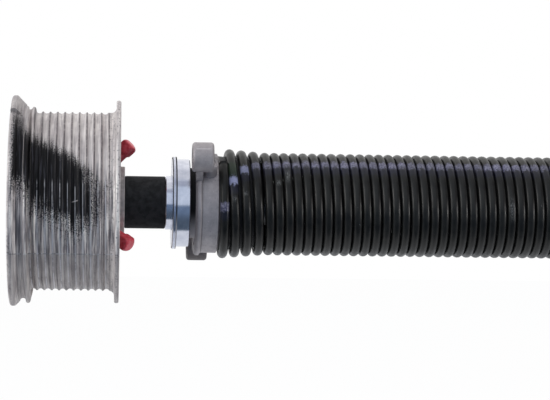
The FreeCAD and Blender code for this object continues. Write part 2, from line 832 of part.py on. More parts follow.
for i, angle in enumerate(("winder_screw_angle", "winder_screw_angle + 90"), start=1):
    out = radial(value(angle))
    hole_start = head_mid + out * value("shaft_d / 2 - overlap")
    hole_reach = value("winder_boss_top - shaft_d / 2")
    hole_name = "winder_screw_hole_%d" % i
    hole = cylinder(hole_name, "screw_d / 2 + bore_play", hole_reach, hole_start, out)
    winder_holes.append(hole)
    under = head_mid + out * value("winder_head_r + winder_screw_stand")
    length = value("winder_head_r + winder_screw_stand - shaft_d / 2 - screw_gap")
    roll = value("winder_screw_roll_angle")
    winder_screws.append(set_screw("winder_screw_%d" % i, under, out, length, roll))
winder_solid = joined("winder_solid", [winder_blank] + arms)
winder_holed = cut("winder_holed", winder_solid, joined("winder_holes", winder_holes))
winding_cone = cut("winding_cone", winder_holed, winder_seat)
winding_cone_set_screws = group("winding_cone_set_screws", winder_screws)

doc.recompute()

nodes = {
    "cable_drum": cable_drum,
    "drum_set_screws": drum_set_screws,
    "spacer_sleeve": sleeve_body,
    "bearing_inner_race": race_node,
    "bearing_balls": bearing_balls,
    "bearing_outer_cup": cup_node,
    "bearing_cover": cover_body,
    "stationary_cone": stationary_cone,
    "torsion_spring": torsion_spring,
    "winding_cone": winding_cone,
    "winding_cone_set_screws": winding_cone_set_screws,
    "shaft": shaft_body,
}
for thing in doc.Objects:
    faults = [s for s in thing.State if s in ("Invalid", "Error")]
    if faults:
        raise RuntimeError("%s is %s: %s" % (thing.Label, faults, thing.getStatusString()))
for piece, base in cuts:
    removed = base.Shape.Volume - piece.Shape.Volume
    print(piece.Label, "removes", round(removed, 1))
    if removed < 1:
        raise RuntimeError("%s cuts nothing" % piece.Label)
os.makedirs("parts", exist_ok=True)
for name, thing in nodes.items():
    shape = thing.Shape
    if shape.isNull() or not shape.isValid():
        raise RuntimeError("%s has no valid shape" % name)
    box = shape.BoundBox
    print(name, len(shape.Solids), round(shape.Volume))
    print("    X %.2f %.2f" % (box.XMin, box.XMax), "Y %.2f %.2f" % (box.YMin, box.YMax), end=" ")
    print("Z %.2f %.2f" % (box.ZMin, box.ZMax))
    shape.exportStep("parts/%s.step" % name)
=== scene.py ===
import math

import bpy
from mathutils import Matrix, Vector


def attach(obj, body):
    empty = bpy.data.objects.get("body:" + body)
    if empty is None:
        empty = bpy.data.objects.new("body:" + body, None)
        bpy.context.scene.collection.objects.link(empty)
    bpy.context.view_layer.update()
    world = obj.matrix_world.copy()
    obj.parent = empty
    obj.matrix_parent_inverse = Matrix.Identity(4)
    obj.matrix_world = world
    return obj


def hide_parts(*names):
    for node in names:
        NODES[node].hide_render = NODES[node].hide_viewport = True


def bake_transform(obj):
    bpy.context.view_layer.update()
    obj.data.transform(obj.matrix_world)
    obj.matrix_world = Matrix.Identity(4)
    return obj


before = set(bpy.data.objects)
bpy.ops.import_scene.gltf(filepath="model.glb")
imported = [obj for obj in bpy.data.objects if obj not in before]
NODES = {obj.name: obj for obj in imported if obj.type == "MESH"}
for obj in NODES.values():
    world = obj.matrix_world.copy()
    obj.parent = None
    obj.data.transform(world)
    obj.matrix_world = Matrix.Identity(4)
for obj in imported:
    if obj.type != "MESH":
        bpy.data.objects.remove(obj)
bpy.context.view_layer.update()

MM = 0.001

# Camera: a long lens a little left of the middle, turned towards the spring and rolled a touch.
IMAGE_WIDTH = 550
FOCAL_PIXELS = 1849.4
SENSOR_WIDTH = 36.0
CLIP_START = 0.01
CAMERA_SPOT = Vector((-45.0, -1100.0, 13.1)) * MM
CAMERA_YAW = math.radians(5.00)
CAMERA_PITCH = math.radians(-0.55)
CAMERA_ROLL = math.radians(-0.88)


def srgb(red, green, blue):
    """Linear colour of a screen colour given in steps of 255."""
    def linear(step):
        share = step / 255
        return share / 12.92 if share <= 0.04045 else ((share + 0.055) / 1.055) ** 2.4
    return (linear(red), linear(green), linear(blue), 1.0)


def place(name, data):
    """A new object, put into the scene."""
    thing = bpy.data.objects.new(name, data)
    bpy.context.scene.collection.objects.link(thing)
    return thing


def make_camera():
    """The photo's camera: its place, its turn and its lens."""
    data = bpy.data.cameras.new("camera")
    data.sensor_width = SENSOR_WIDTH
    data.lens = FOCAL_PIXELS / IMAGE_WIDTH * SENSOR_WIDTH
    data.clip_start = CLIP_START
    camera = place("camera", data)
    ahead = Vector((
        math.sin(CAMERA_YAW) * math.cos(CAMERA_PITCH),
        math.cos(CAMERA_YAW) * math.cos(CAMERA_PITCH),
        math.sin(CAMERA_PITCH),
    ))
    level = Vector((math.cos(CAMERA_YAW), -math.sin(CAMERA_YAW), 0))
    upright = level.cross(ahead)
    right = level * math.cos(CAMERA_ROLL) - upright * math.sin(CAMERA_ROLL)
    up = level * math.sin(CAMERA_ROLL) + upright * math.cos(CAMERA_ROLL)
    turn = Matrix((right, up, -ahead)).transposed().to_4x4()
    camera.matrix_world = Matrix.Translation(CAMERA_SPOT) @ turn
    bpy.context.scene.camera = camera


class Nodes:
    """A node tree, with short calls for the nodes that the finishes and the studio share."""

    def __init__(self, tree):
        self.tree = tree

    def add(self, kind, **settings):
        node = self.tree.nodes.new(kind)
        for name, setting in settings.items():
            setattr(node, name, setting)
        return node

    def feed(self, socket, value):
        """Link a socket to another node's, or set its constant."""
        if isinstance(value, bpy.types.NodeSocket):
            self.tree.links.new(value, socket)
        else:
            socket.default_value = value

    def compute(self, operation, first, second=0.0, third=0.0, clamp=False):
        node = self.add("ShaderNodeMath", operation=operation, use_clamp=clamp)
        for socket, value in zip(node.inputs, (first, second, third)):
            self.feed(socket, value)
        return node.outputs[0]

    def times(self, first, *others):
        for other in others:
            first = self.compute("MULTIPLY", first, other)
        return first

    def larger(self, first, second):
        return self.compute("MAXIMUM", first, second)

    def less(self, share, most=1.0):
        """What is left of 1 when at most a part of it is taken away, by the share."""
        return self.compute("MULTIPLY_ADD", share, -most, 1.0)

    def split(self, vector):
        """X, Y and Z of a vector."""
        node = self.add("ShaderNodeSeparateXYZ")
        self.feed(node.inputs[0], vector)
        return node.outputs

    def stretch(self, value, low, high, at_low=0.0, at_high=1.0):
        """The value carried smoothly from one range to another, and kept inside it."""
        node = self.add("ShaderNodeMapRange", interpolation_type="SMOOTHSTEP")
        for socket, number in zip(node.inputs, (value, low, high, at_low, at_high)):
            self.feed(socket, number)
        return node.outputs["Result"]

    def fade(self, value, low, high):
        """1 up to the low value, and 0 from the high one on."""
        return self.stretch(value, low, high, at_low=1.0, at_high=0.0)

    def past(self, value, edge, soft):
        """1 past a soft edge, and 0 before it."""
        return self.stretch(value, edge - soft, edge + soft)

    def before(self, value, edge, soft):
        """1 before a soft edge, and 0 past it."""
        return self.fade(value, edge - soft, edge + soft)

    def band(self, value, middle, half, soft):
        """1 where the value is within half of the middle, and 0 beyond a soft edge."""
        off = self.compute("ABSOLUTE", self.compute("SUBTRACT", value, middle))
        return self.before(off, half, soft)

    def blend(self, share, first, second, most=1.0):
        """The first colour, giving way by the share to at most so much of the second."""
        if most < 1.0:
            share = self.times(share, most)
        node = self.add("ShaderNodeMix", data_type="RGBA")
        self.feed(node.inputs[0], share)
        self.feed(node.inputs[6], first)
        self.feed(node.inputs[7], second)
        return node.outputs[2]


class Finish(Nodes):
    """A material, with short calls for what only the finishes need."""

    def __init__(self, name):
        self.material = bpy.data.materials.new(name)
        self.material.use_nodes = True
        super().__init__(self.material.node_tree)
        self.shader = self.tree.nodes["Principled BSDF"]
        coordinates = self.add("ShaderNodeTexCoord")
        self.spot = coordinates.outputs["Object"]
        self.normal = coordinates.outputs["Normal"]

    def find_axes(self):
        """Keep X, Y and Z of the place on the piece, and how far it is from the axis, in millimetres."""
        self.x, self.y, self.z = [self.times(part, 1 / MM) for part in self.split(self.spot)]
        squares = self.compute("ADD", self.times(self.y, self.y), self.times(self.z, self.z))
        self.radius = self.compute("SQRT", squares)

    def stored(self, name):
        """A number that the mesh keeps at its corners."""
        return self.add("ShaderNodeAttribute", attribute_name=name).outputs["Fac"]

    def vector(self, x, y, z):
        node = self.add("ShaderNodeCombineXYZ")
        for socket, value in zip(node.inputs, (x, y, z)):
            self.feed(socket, value)
        return node.outputs[0]

    def noise(self, scale, detail, rough=0.5, spot=None):
        node = self.add("ShaderNodeTexNoise")
        self.feed(node.inputs["Vector"], spot or self.spot)
        self.feed(node.inputs["Scale"], scale)
        self.feed(node.inputs["Detail"], detail)
        self.feed(node.inputs["Roughness"], rough)
        return node.outputs["Fac"]

    def patches(self, scale, detail, rough, low, high, at_low=0.0, at_high=1.0):
        """Noise on the piece, stretched from between low and high."""
        return self.stretch(self.noise(scale, detail, rough), low, high, at_low, at_high)

    def track(self, value, spots):
        """A smooth line through spots of value and result."""
        starts = [spot[0] for spot in spots]
        ends = [spot[1] for spot in spots]
        low, high = min(ends), max(ends)
        share = self.compute("SUBTRACT", value, starts[0])
        share = self.compute("DIVIDE", share, starts[-1] - starts[0], clamp=True)
        node = self.add("ShaderNodeFloatCurve")
        line = node.mapping.curves[0]
        for i, (start, end) in enumerate(spots):
            point = ((start - starts[0]) / (starts[-1] - starts[0]), (end - low) / (high - low))
            if i == 0:
                line.points[0].location = point
            elif i == len(spots) - 1:
                line.points[-1].location = point
            else:
                line.points.new(*point)
        node.mapping.update()
        self.feed(node.inputs["Value"], share)
        return self.compute("MULTIPLY_ADD", node.outputs[0], high - low, low)

    def bump(self, height, depth):
        node = self.add("ShaderNodeBump")
        self.feed(node.inputs["Distance"], depth)
        self.feed(node.inputs["Height"], height)
        self.feed(self.shader.inputs["Normal"], node.outputs["Normal"])

    def set(self, **sockets):
        for name, value in sockets.items():
            self.feed(self.shader.inputs[name.replace("_", " ")], value)


# Places on the drum, in millimetres: its two rims, the soft ends of the grooved barrel, where its right
# half begins, the radius that parts its outside from its hollows, the end of the hub, the height of
# the parting line, and how soft the edges between them are.
RIM_X = -102.3
FAR_RIM_X = -48.0
BARREL_FROM_X = (-95.0, -92.0)
BARREL_TO_X = (-47.0, -45.0)
RIGHT_HALF_X = (-60.0, -55.0)
SKIN_R = 49.0
HUB_X = -43.0
HUB_R = 39.0
HUB_SOFT = 1.0
PARTING_Z = -29.5
EDGE_SOFT = 0.5

# How far a face leans along the shaft where it begins to be an end face, and where it is one.
END_LEAN = (0.75, 0.95)

# Cable groove, in millimetres; the spare turns keep the count of turns above zero.
GROOVE_FIRST_X = -88.9
GROOVE_PITCH = 4.28
GROOVE_SPARE_TURNS = 20

# Streaks round the drum: how quickly they change along it and round it, per millimetre.
STREAK_ALONG = 0.95
STREAK_ROUND = 0.045

# Overspray on the drum's front, in millimetres: its upper and lower edge as X and Z, its right edge,
# the depth that it reaches, how far its edges wander, fray and break up in specks, and how soft they are.
SPRAY_UPPER = (
    (-105.0, 45.0), (-100.5, 48.5), (-97.0, 45.5), (-93.0, 38.0), (-85.0, 34.0),
    (-76.0, 30.0), (-67.0, 24.5), (-59.0, 17.5), (-53.0, 10.0),
)
SPRAY_LOWER = (
    (-105.0, 9.0), (-96.0, 7.0), (-92.0, -2.0), (-87.0, -6.0), (-80.0, -10.0),
    (-75.0, -13.0), (-68.0, -17.0), (-62.0, -14.0), (-53.0, -5.0),
)
SPRAY_RIGHT = -53.0
SPRAY_FRONT_Y = (-8.0, -2.0)
SPRAY_WANDER = 2.5
SPRAY_FRAY = 3.0
SPRAY_SPECKS = 7.0
SPRAY_SOFT = 3.4
SPRAY_TOP_SOFT = 3.8

# How much of that the upper, right and rim edges take; two values go from the flange to the barrel.
SPRAY_TOP_EDGE = 0.5
SPRAY_TOP_SPECKS = (0.35, 0.3)
SPRAY_TOP_SPECKS_X = (-97.0, -90.0)
SPRAY_TOP_CRISP = (0.45, 1.0)
SPRAY_TOP_CRISP_X = (-97.0, -92.0)
SPRAY_END_SPECKS = 0.9
SPRAY_RIM_SPECKS = 0.13

# Marks on the drum, in millimetres and phases of the groove: where streaks, the darker lines on the crests
# and the painted highlight along the groove's floor give out, where painted shade darkens the big flange,
# the parting line, and a scratch in the paint.
STREAKS_END_Z = (5.0, 30.0)
STREAKS_BELOW_PARTING = 3.0
STREAKS_ABOVE_PARTING = 1.0
CREST_PHASE = (0.33, 0.46)
CREST_DARK_Z = (-25.0, 15.0)
HIGHLIGHT_PHASE = (0.03, 0.08)
HIGHLIGHT_END_Z = (10.0, 14.0)
FLANGE_SHADE_Z = (15.0, 40.0)
FOOT_SOFT = 0.6
PARTING_HALF = 0.3
PARTING_SOFT = 0.2
SCRATCH_X = -66.6
SCRATCH_REACH = 1.7
SCRATCH_END_SOFT = 0.4
SCRATCH_Z_AT_ZERO = 20.6
SCRATCH_SLOPE = 0.3
SCRATCH_HALF = 0.28
SCRATCH_SOFT = 0.2

# Colours on the drum, among them painted shade on the big flange's top and a painted highlight along the
# groove's floor, and how metallic it is where no paint lies.
CAST_SHADE = srgb(188, 178, 175)
CAST_LIGHT = srgb(214, 205, 200)
STREAK_DULL = srgb(97, 95, 99)
STREAK_BRIGHT = srgb(252, 245, 236)
CREST_DARK = srgb(84, 78, 80)
FLANGE_TOP_SHADE = srgb(128, 123, 123)
RIM_CHIP = srgb(76, 73, 74)
HUB_GRIME = srgb(104, 105, 102)
FOOT_DARK = srgb(146, 136, 130)
PARTING_DARK = srgb(96, 92, 95)
PARTING_LIGHT = srgb(214, 211, 212)
GROOVE_HIGHLIGHT = srgb(236, 233, 234)
SPRAY_BLACK = srgb(7, 7, 9)
SPRAY_GREY = srgb(46, 46, 52)
CAST_METALLIC = 0.28


def groove_phase(finish):
    """How far a place is from the middle of the cable groove's floor: 0 there, 0.5 on a crest."""
    climb = finish.compute("ARCTAN2", finish.times(finish.y, -1.0), finish.z)
    along = finish.compute("DIVIDE", finish.compute("SUBTRACT", finish.x, GROOVE_FIRST_X), GROOVE_PITCH)
    turns = finish.compute("SUBTRACT", along, finish.compute("DIVIDE", climb, 2 * math.pi))
    share = finish.compute("FRACT", finish.compute("ADD", turns, GROOVE_SPARE_TURNS + 0.5))
    return finish.compute("ABSOLUTE", finish.compute("SUBTRACT", share, 0.5))


def streaks(finish):
    """Fine lines that the cable has drawn round the drum, from 0 to 1."""
    along = finish.times(finish.x, STREAK_ALONG)
    spot = finish.vector(along, finish.times(finish.y, STREAK_ROUND), finish.times(finish.z, STREAK_ROUND))
    return finish.stretch(finish.noise(scale=1.0, detail=2.0, rough=0.6, spot=spot), 0.3, 0.7)


def outer_skin(finish):
    """1 on the drum's outside, 0 in its hollows and on its two end faces."""
    lean = finish.split(finish.normal)[0]
    low, high = END_LEAN
    left_face = finish.fade(lean, -high, -low)
    right_face = finish.times(finish.stretch(lean, low, high), finish.stretch(finish.x, *RIGHT_HALF_X))
    outside = finish.past(finish.radius, SKIN_R, EDGE_SOFT)
    return finish.times(outside, finish.less(finish.larger(left_face, right_face)))


def on_barrel(finish):
    """1 on the outside of the grooved barrel, 0 elsewhere."""
    return finish.times(
        finish.stretch(finish.x, *BARREL_FROM_X),
        finish.fade(finish.x, *BARREL_TO_X),
        finish.past(finish.radius, SKIN_R, EDGE_SOFT),
    )


def overspray(finish, lines):
    """Where the black paint lies: full in the middle, in specks towards its edges."""
    x, y, z = finish.x, finish.y, finish.z
    wander = finish.patches(
        scale=90.0, detail=3.0, rough=0.5, low=0.25, high=0.75,
        at_low=-SPRAY_WANDER, at_high=SPRAY_WANDER,
    )
    specks = finish.patches(
        scale=1900.0, detail=2.0, rough=0.6, low=0.36, high=0.64,
        at_low=-SPRAY_SPECKS, at_high=SPRAY_SPECKS,
    )
    frayed = finish.stretch(lines, 0.0, 1.0, at_low=SPRAY_FRAY, at_high=-SPRAY_FRAY)
    edge = finish.compute("ADD", wander, frayed)
    below_top = finish.compute("SUBTRACT", finish.track(x, SPRAY_UPPER), z)
    above_foot = finish.compute("SUBTRACT", z, finish.track(x, SPRAY_LOWER))
    left_of_end = finish.compute("SUBTRACT", SPRAY_RIGHT, x)
    right_of_rim = finish.compute("SUBTRACT", x, RIM_X)
    fine = finish.times(specks, finish.stretch(x, *SPRAY_TOP_SPECKS_X, *SPRAY_TOP_SPECKS))
    top = finish.compute("ADD", finish.compute("MULTIPLY_ADD", edge, SPRAY_TOP_EDGE, below_top), fine)
    top = finish.times(top, finish.stretch(x, *SPRAY_TOP_CRISP_X, *SPRAY_TOP_CRISP))
    foot = finish.compute("ADD", finish.compute("ADD", above_foot, edge), specks)
    end = finish.compute("ADD", left_of_end, wander)
    end = finish.compute("MULTIPLY_ADD", specks, SPRAY_END_SPECKS, end)
    rim = finish.compute("MULTIPLY_ADD", specks, SPRAY_RIM_SPECKS, right_of_rim)
    return finish.times(
        finish.stretch(top, -SPRAY_TOP_SOFT, SPRAY_SOFT),
        finish.past(foot, 0.0, SPRAY_SOFT),
        finish.past(end, 0.0, SPRAY_SOFT),
        finish.past(rim, 0.0, EDGE_SOFT),
        finish.fade(y, *SPRAY_FRONT_Y),
    )


def cast_metal(finish, lines, skin):
    """Clouded aluminium with dull and bright streaks, fewer high up and below the parting line."""
    cloud = finish.patches(scale=70.0, detail=5.0, rough=0.6, low=0.32, high=0.68)
    metal = finish.blend(cloud, CAST_SHADE, CAST_LIGHT)
    parting = (PARTING_Z - STREAKS_BELOW_PARTING, PARTING_Z + STREAKS_ABOVE_PARTING)
    used = finish.times(
        finish.stretch(finish.z, *STREAKS_END_Z, at_low=1.0, at_high=0.35),
        finish.stretch(finish.z, *parting, at_low=0.5, at_high=1.0),
        skin,
    )
    dull = finish.times(finish.stretch(lines, 0.0, 0.5, at_low=0.85, at_high=0.0), used)
    metal = finish.blend(dull, metal, STREAK_DULL)
    bright = finish.times(finish.stretch(lines, 0.55, 0.95, at_low=0.0, at_high=0.95), used)
    return finish.blend(bright, metal, STREAK_BRIGHT)


def add_crest_darkening(finish, metal, phase, barrel):
    """Darker lines on the groove's crests, weaker low down."""
    worn = finish.patches(
        scale=260.0, detail=4.0, rough=0.7, low=0.3, high=0.6, at_low=0.55, at_high=1.0,
    )
    height = finish.stretch(finish.z, *CREST_DARK_Z, at_low=0.7, at_high=1.0)
    darker = finish.times(finish.stretch(phase, *CREST_PHASE), barrel, worn, height)
    return finish.blend(darker, metal, CREST_DARK, most=0.85)


def add_flange_shade_and_chips(finish, metal, skin):
    """Painted shade on the big flange's top, and dark chips on both rims."""
    # Painted shade: the big flange grows darker towards its top.
    on_flange = finish.stretch(finish.x, *BARREL_FROM_X, at_low=0.4, at_high=0.0)
    flange_top = finish.times(on_flange, finish.stretch(finish.z, *FLANGE_SHADE_Z))
    metal = finish.blend(finish.times(flange_top, skin), metal, FLANGE_TOP_SHADE)
    rims = finish.larger(
        finish.before(finish.x, RIM_X, EDGE_SOFT),
        finish.past(finish.x, FAR_RIM_X, EDGE_SOFT),
    )
    chips = finish.patches(
        scale=750.0, detail=3.0, rough=0.65, low=0.56, high=0.64, at_low=0.0, at_high=0.6,
    )
    return finish.blend(finish.times(chips, rims, skin), metal, RIM_CHIP)


def add_hub_grime(finish, metal):
    """Grime on the end of the hub."""
    mottled = finish.patches(
        scale=300.0, detail=4.0, rough=0.6, low=0.35, high=0.65, at_low=0.0, at_high=0.4,
    )
    hub = finish.times(
        finish.past(finish.x, HUB_X, EDGE_SOFT),
        finish.before(finish.radius, HUB_R, HUB_SOFT),
    )
    return finish.blend(finish.times(hub, mottled), metal, HUB_GRIME)


def add_parting_line(finish, metal, skin):
    """The mould's dotted parting line; the casting is darker below it."""
    below = finish.stretch(
        finish.z, PARTING_Z - FOOT_SOFT, PARTING_Z + FOOT_SOFT, at_low=0.25, at_high=0.0,
    )
    metal = finish.blend(finish.times(below, skin), metal, FOOT_DARK)
    dots = finish.patches(scale=420.0, detail=2.0, rough=0.6, low=0.4, high=0.6)
    parting = finish.times(finish.band(finish.z, PARTING_Z, PARTING_HALF, PARTING_SOFT), skin)
    return finish.blend(parting, metal, finish.blend(dots, PARTING_DARK, PARTING_LIGHT), most=0.6)


def groove_highlight_mask(finish, phase, barrel):
    """Painted highlight along the middle of the groove's floor, laid over the paint too."""
    return finish.times(
        finish.fade(phase, *HIGHLIGHT_PHASE),
        barrel,
        finish.fade(finish.z, *HIGHLIGHT_END_Z),
        finish.patches(scale=120.0, detail=4.0, rough=0.7, low=0.36, high=0.54),
    )


def spray_scratch(finish):
    """A short slanting scratch through the overspray."""
    height = finish.compute("ADD", finish.z, -SCRATCH_Z_AT_ZERO)
    slant = finish.compute("MULTIPLY_ADD", finish.x, -SCRATCH_SLOPE, height)
    return finish.times(
        finish.band(slant, 0.0, SCRATCH_HALF, SCRATCH_SOFT),
        finish.band(finish.x, SCRATCH_X, SCRATCH_REACH, SCRATCH_END_SOFT),
    )


def drum_finish():
    """Die-cast drum: streaked aluminium, darker crests and a painted highlight along the groove, painted
    shade on the big flange, and black overspray in front.
    """
    finish = Finish("cast_aluminium")
    finish.find_axes()
    lines = streaks(finish)
    skin = outer_skin(finish)
    phase = groove_phase(finish)
    barrel = on_barrel(finish)
    metal = cast_metal(finish, lines, skin)
    metal = add_crest_darkening(finish, metal, phase, barrel)
    metal = add_flange_shade_and_chips(finish, metal, skin)
    metal = add_hub_grime(finish, metal)
    metal = add_parting_line(finish, metal, skin)
    # Painted highlight along the middle of the groove's floor, which also shows through the overspray.
    highlight = groove_highlight_mask(finish, phase, barrel)
    metal = finish.blend(highlight, metal, GROOVE_HIGHLIGHT, most=0.7)
    cover = finish.times(
        overspray(finish, lines),
        skin,
        finish.less(highlight, most=0.6),
        finish.less(spray_scratch(finish), most=0.8),
    )
    paint = finish.blend(finish.stretch(lines, 0.55, 1.0), SPRAY_BLACK, SPRAY_GREY)
    rough = finish.patches(
        scale=900.0, detail=2.0, rough=0.5, low=0.3, high=0.7, at_low=0.42, at_high=0.56,
    )
    finish.set(
        Base_Color=finish.blend(cover, metal, paint, most=0.98),
        Metallic=finish.times(finish.less(cover), CAST_METALLIC),
        Roughness=rough,
        Specular_IOR_Level=0.14,
    )
    finish.bump(finish.noise(scale=1100.0, detail=3.0, rough=0.6), depth=0.1 * MM)
    return finish.material


# Places on the two cones, in millimetres: where the coils cover them, then the stationary cone's
# ring, its near lug and the painted highlight on that lug's upper edge, the rough stub, and the painted
# shade low at the back.
COILS_X = (16.8, 299.0)
COILS_SOFT = 0.4
RING_R = (31.2, 31.6)
RING_SHADE_X = (3.3, 5.5)
RING_CORNER_X = 6.7
RING_CORNER_HALF = 0.35
LUG_X = 6.1
LUG_HALF = 4.0
LUG_SOFT = 0.4
LUG_FRONT_Y = (-26.0, -24.0)
LUG_HIGHLIGHT_Z = 31.6
LUG_HIGHLIGHT_HALF = 0.3
LINE_SOFT = 0.2
STUB_X = 15.0
STUB_HALF = 3.0
STUB_SOFT = 1.0
STUB_Z = (22.0, 26.0)
BACK_SHADE_Y = (8.0, 20.0)
BACK_SHADE_Z = (-34.0, -14.0)

# Colours on the cones, with painted shade on the ring's front and corner, low at the back and under the
# coils, and a painted highlight on the near lug's upper edge.
CONE_SHADE = srgb(170, 162, 162)
CONE_LIGHT = srgb(192, 184, 183)
CONE_PIT = srgb(100, 95, 97)
CONE_SPECK = srgb(228, 222, 222)
RING_FRONT_SHADE = srgb(84, 80, 84)
RING_CORNER_SHADE = srgb(78, 74, 78)
LUG_DARKER = srgb(128, 122, 122)
LUG_EDGE_HIGHLIGHT = srgb(216, 210, 209)
CONE_BACK_SHADE = srgb(82, 76, 74)
STUB_DARK = srgb(96, 92, 93)
UNDER_COILS_SHADE = srgb(34, 33, 34)

# How much higher the cones' lumps stand than their fine grain.
CONE_LUMPS = 2.0


def sandy_metal(finish):
    """Clouded grey with dark pits and pale specks."""
    cloud = finish.patches(scale=150.0, detail=5.0, rough=0.6, low=0.3, high=0.7)
    metal = finish.blend(cloud, CONE_SHADE, CONE_LIGHT)
    pits = finish.patches(
        scale=900.0, detail=2.0, rough=0.6, low=0.62, high=0.7, at_low=0.0, at_high=0.4,
    )
    metal = finish.blend(pits, metal, CONE_PIT)
    specks = finish.patches(
        scale=1000.0, detail=2.0, rough=0.6, low=0.66, high=0.72, at_low=0.0, at_high=0.5,
    )
    return finish.blend(specks, metal, CONE_SPECK)


def add_ring_and_lugs(finish, metal):
    """Painted shade on the ring's front and in its corner, darker lugs, and a painted highlight on the
    near lug's upper edge.
    """
    in_ring = finish.fade(finish.radius, *RING_R)
    # Painted shade on the ring's front, darkest at its left edge.
    front_shade = finish.times(finish.stretch(finish.x, *RING_SHADE_X, at_low=0.6, at_high=0.0), in_ring)
    metal = finish.blend(front_shade, metal, RING_FRONT_SHADE)
    metal = finish.blend(finish.less(in_ring), metal, LUG_DARKER, most=0.3)
    # Painted shade in the corner where the ring meets the collar.
    corner = finish.band(finish.x, RING_CORNER_X, RING_CORNER_HALF, LINE_SOFT)
    metal = finish.blend(finish.times(corner, in_ring), metal, RING_CORNER_SHADE, most=0.5)
    # Painted highlight along the near lug's upper edge.
    edge = finish.times(
        finish.band(finish.z, LUG_HIGHLIGHT_Z, LUG_HIGHLIGHT_HALF, LINE_SOFT),
        finish.band(finish.x, LUG_X, LUG_HALF, LUG_SOFT),
        finish.stretch(finish.y, *LUG_FRONT_Y, at_low=0.5, at_high=0.0),
    )
    return finish.blend(edge, metal, LUG_EDGE_HIGHLIGHT)


def cone_finish():
    """Grey casting with a sandy skin, with painted shade under the coils and low down at the back."""
    finish = Finish("cone_casting")
    finish.find_axes()
    fine = finish.noise(scale=1300.0, detail=3.0, rough=0.6)
    lumps = finish.noise(scale=260.0, detail=3.0, rough=0.5)
    metal = add_ring_and_lugs(finish, sandy_metal(finish))
    # Painted shade low down at the back of the cones.
    back_shade = finish.times(finish.fade(finish.z, *BACK_SHADE_Z), finish.stretch(finish.y, *BACK_SHADE_Y))
    metal = finish.blend(back_shade, metal, CONE_BACK_SHADE, most=0.85)
    stub = finish.times(
        finish.band(finish.x, STUB_X, STUB_HALF, STUB_SOFT),
        finish.stretch(finish.z, *STUB_Z),
        finish.stretch(lumps, 0.3, 0.6, at_low=0.4, at_high=0.8),
    )
    metal = finish.blend(stub, metal, STUB_DARK)
    # Painted shade on the cones where the coils cover them.
    covered = finish.times(
        finish.past(finish.x, COILS_X[0], COILS_SOFT),
        finish.before(finish.x, COILS_X[1], COILS_SOFT),
    )
    finish.set(
        Base_Color=finish.blend(covered, metal, UNDER_COILS_SHADE),
        Metallic=0.3,
        Roughness=finish.stretch(fine, 0.3, 0.7, at_low=0.45, at_high=0.62),
    )
    finish.bump(finish.compute("MULTIPLY_ADD", lumps, CONE_LUMPS, fine), depth=0.16 * MM)
    return finish.material


# Paint on the set screws and on the sleeve.
RED_SHADE = srgb(212, 60, 72)
RED_LIGHT = srgb(236, 94, 106)
RED_WORN = srgb(168, 104, 108)
BLACK_SHADE = srgb(38, 38, 39)
BLACK_LIGHT = srgb(54, 54, 55)


def red_finish():
    """Dipped red paint, uneven and worn through at places."""
    finish = Finish("red_paint")
    cloud = finish.patches(scale=420.0, detail=4.0, rough=0.6, low=0.35, high=0.65)
    paint = finish.blend(cloud, RED_SHADE, RED_LIGHT)
    worn = finish.patches(scale=620.0, detail=4.0, rough=0.6, low=0.62, high=0.7)
    finish.set(
        Base_Color=finish.blend(worn, paint, RED_WORN, most=0.5),
        Roughness=0.38,
    )
    finish.bump(finish.noise(scale=500.0, detail=2.0), depth=0.25 * MM)
    return finish.material


def sleeve_finish():
    """Matt black paint, a little clouded."""
    finish = Finish("black_paint")
    cloud = finish.patches(scale=260.0, detail=4.0, rough=0.65, low=0.35, high=0.65)
    finish.set(
        Base_Color=finish.blend(cloud, BLACK_SHADE, BLACK_LIGHT),
        Roughness=0.75,
        Specular_IOR_Level=0.12,
    )
    finish.bump(finish.noise(scale=900.0, detail=2.0), depth=0.03 * MM)
    return finish.material


# Dark bands on the bearing, from one X to another, past a radius, in millimetres: the cup's first band is
# painted shade in the gap beside the cone, the others are dark lines on the flanges.
CUP_DARK_BANDS = ((-0.05, 9.0, 0.0), (-8.6, -7.75, 26.1))
COVER_DARK_BANDS = ((-10.5, -9.9, 26.2),)
BAND_X_SOFT = 0.05
BAND_R_SOFT = 0.1
BAND_ROUGH = 0.6
BAND_BLACK = srgb(14, 14, 15)

# The dark bands, the painted shade in the gap among them, turn from pale low down to black between these
# heights, in millimetres.
BAND_PALE_Z = (-20.0, -4.0)
BAND_PALE = srgb(225, 218, 217)


def steel_finish(name, light, shade, rough, dark_bands=()):
    """Bright steel; dark bands on it, such as the painted shade in the bearing's gap, are black above and
    pale low down.
    """
    finish = Finish(name)
    cloud = finish.patches(scale=150.0, detail=4.0, rough=0.6, low=0.3, high=0.7)
    colour = finish.blend(cloud, shade, light)
    metal = 1.0
    if dark_bands:
        finish.find_axes()
        banded = 0.0
        # Dark bands; the cup's band in the gap beside the cone is painted shade.
        for low, high, inner in dark_bands:
            band = finish.band(finish.x, (low + high) / 2, (high - low) / 2, BAND_X_SOFT)
            band = finish.times(band, finish.past(finish.radius, inner, BAND_R_SOFT))
            banded = finish.larger(band, banded)
        band_colour = finish.blend(finish.stretch(finish.z, *BAND_PALE_Z), BAND_PALE, BAND_BLACK)
        colour = finish.blend(banded, colour, band_colour)
        metal = finish.less(banded)
        rough = finish.compute("MULTIPLY_ADD", banded, BAND_ROUGH, rough)
    finish.set(Base_Color=colour, Metallic=metal, Roughness=rough)
    finish.bump(finish.noise(scale=900.0, detail=2.0), depth=0.01 * MM)
    return finish.material


